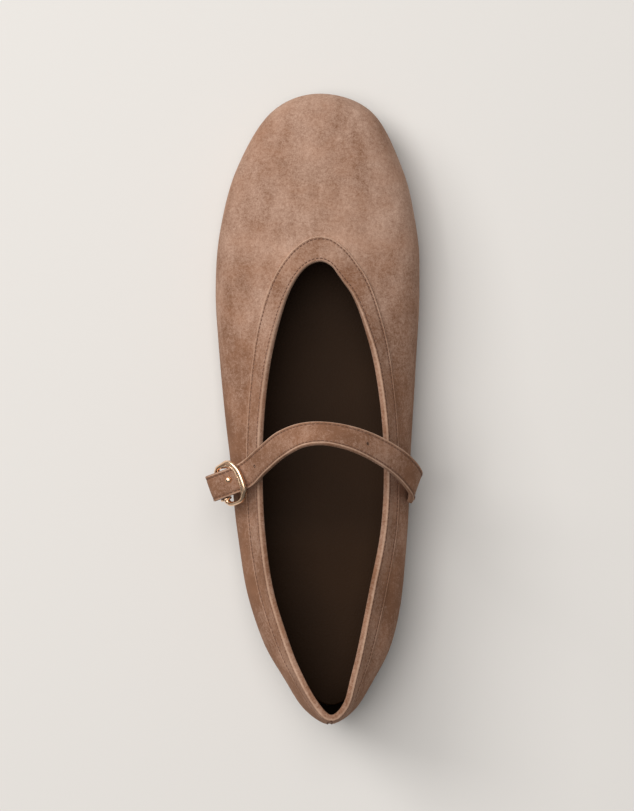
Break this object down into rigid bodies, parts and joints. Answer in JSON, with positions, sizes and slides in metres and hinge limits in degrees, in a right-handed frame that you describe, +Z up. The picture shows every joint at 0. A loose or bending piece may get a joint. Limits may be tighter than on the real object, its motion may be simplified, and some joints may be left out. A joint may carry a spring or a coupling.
{
  "type": "ballet flat",
  "caption": "Round-toed ballet flat for the left foot in velvety suede, with a stitched topline band, an arched instep strap and a metal buckle on the outer side.",
  "frame": {"origin": "middle of the heel's flat bottom, on the floor", "axes": "+Y to the toe, +Z up, +X to the inner side of the left foot"},
  "size_m": [0.085, 0.2509, 0.0814],
  "materials": {
    "suede": "velvety suede, warm taupe brown, matte with a nap",
    "band_suede": "velvety suede, matte, a shade darker",
    "footbed": "smooth dark brown lining leather, matte",
    "sole": "matte dark brown rubber",
    "heel": "matte dark brown rubber",
    "buckle_metal": "polished rose gold plating"
  },
  "bodies": {
    "root": {"upper": "suede", "topline_band": "band_suede", "insole": "footbed", "outsole": "sole", "heel_lift": "heel", "strap": "suede", "buckle_frame": "buckle_metal", "buckle_prong": "buckle_metal", "buckle_tab": "band_suede", "bar_collar_front": "buckle_metal", "bar_collar_back": "buckle_metal"}
  },
  "joints": []
}
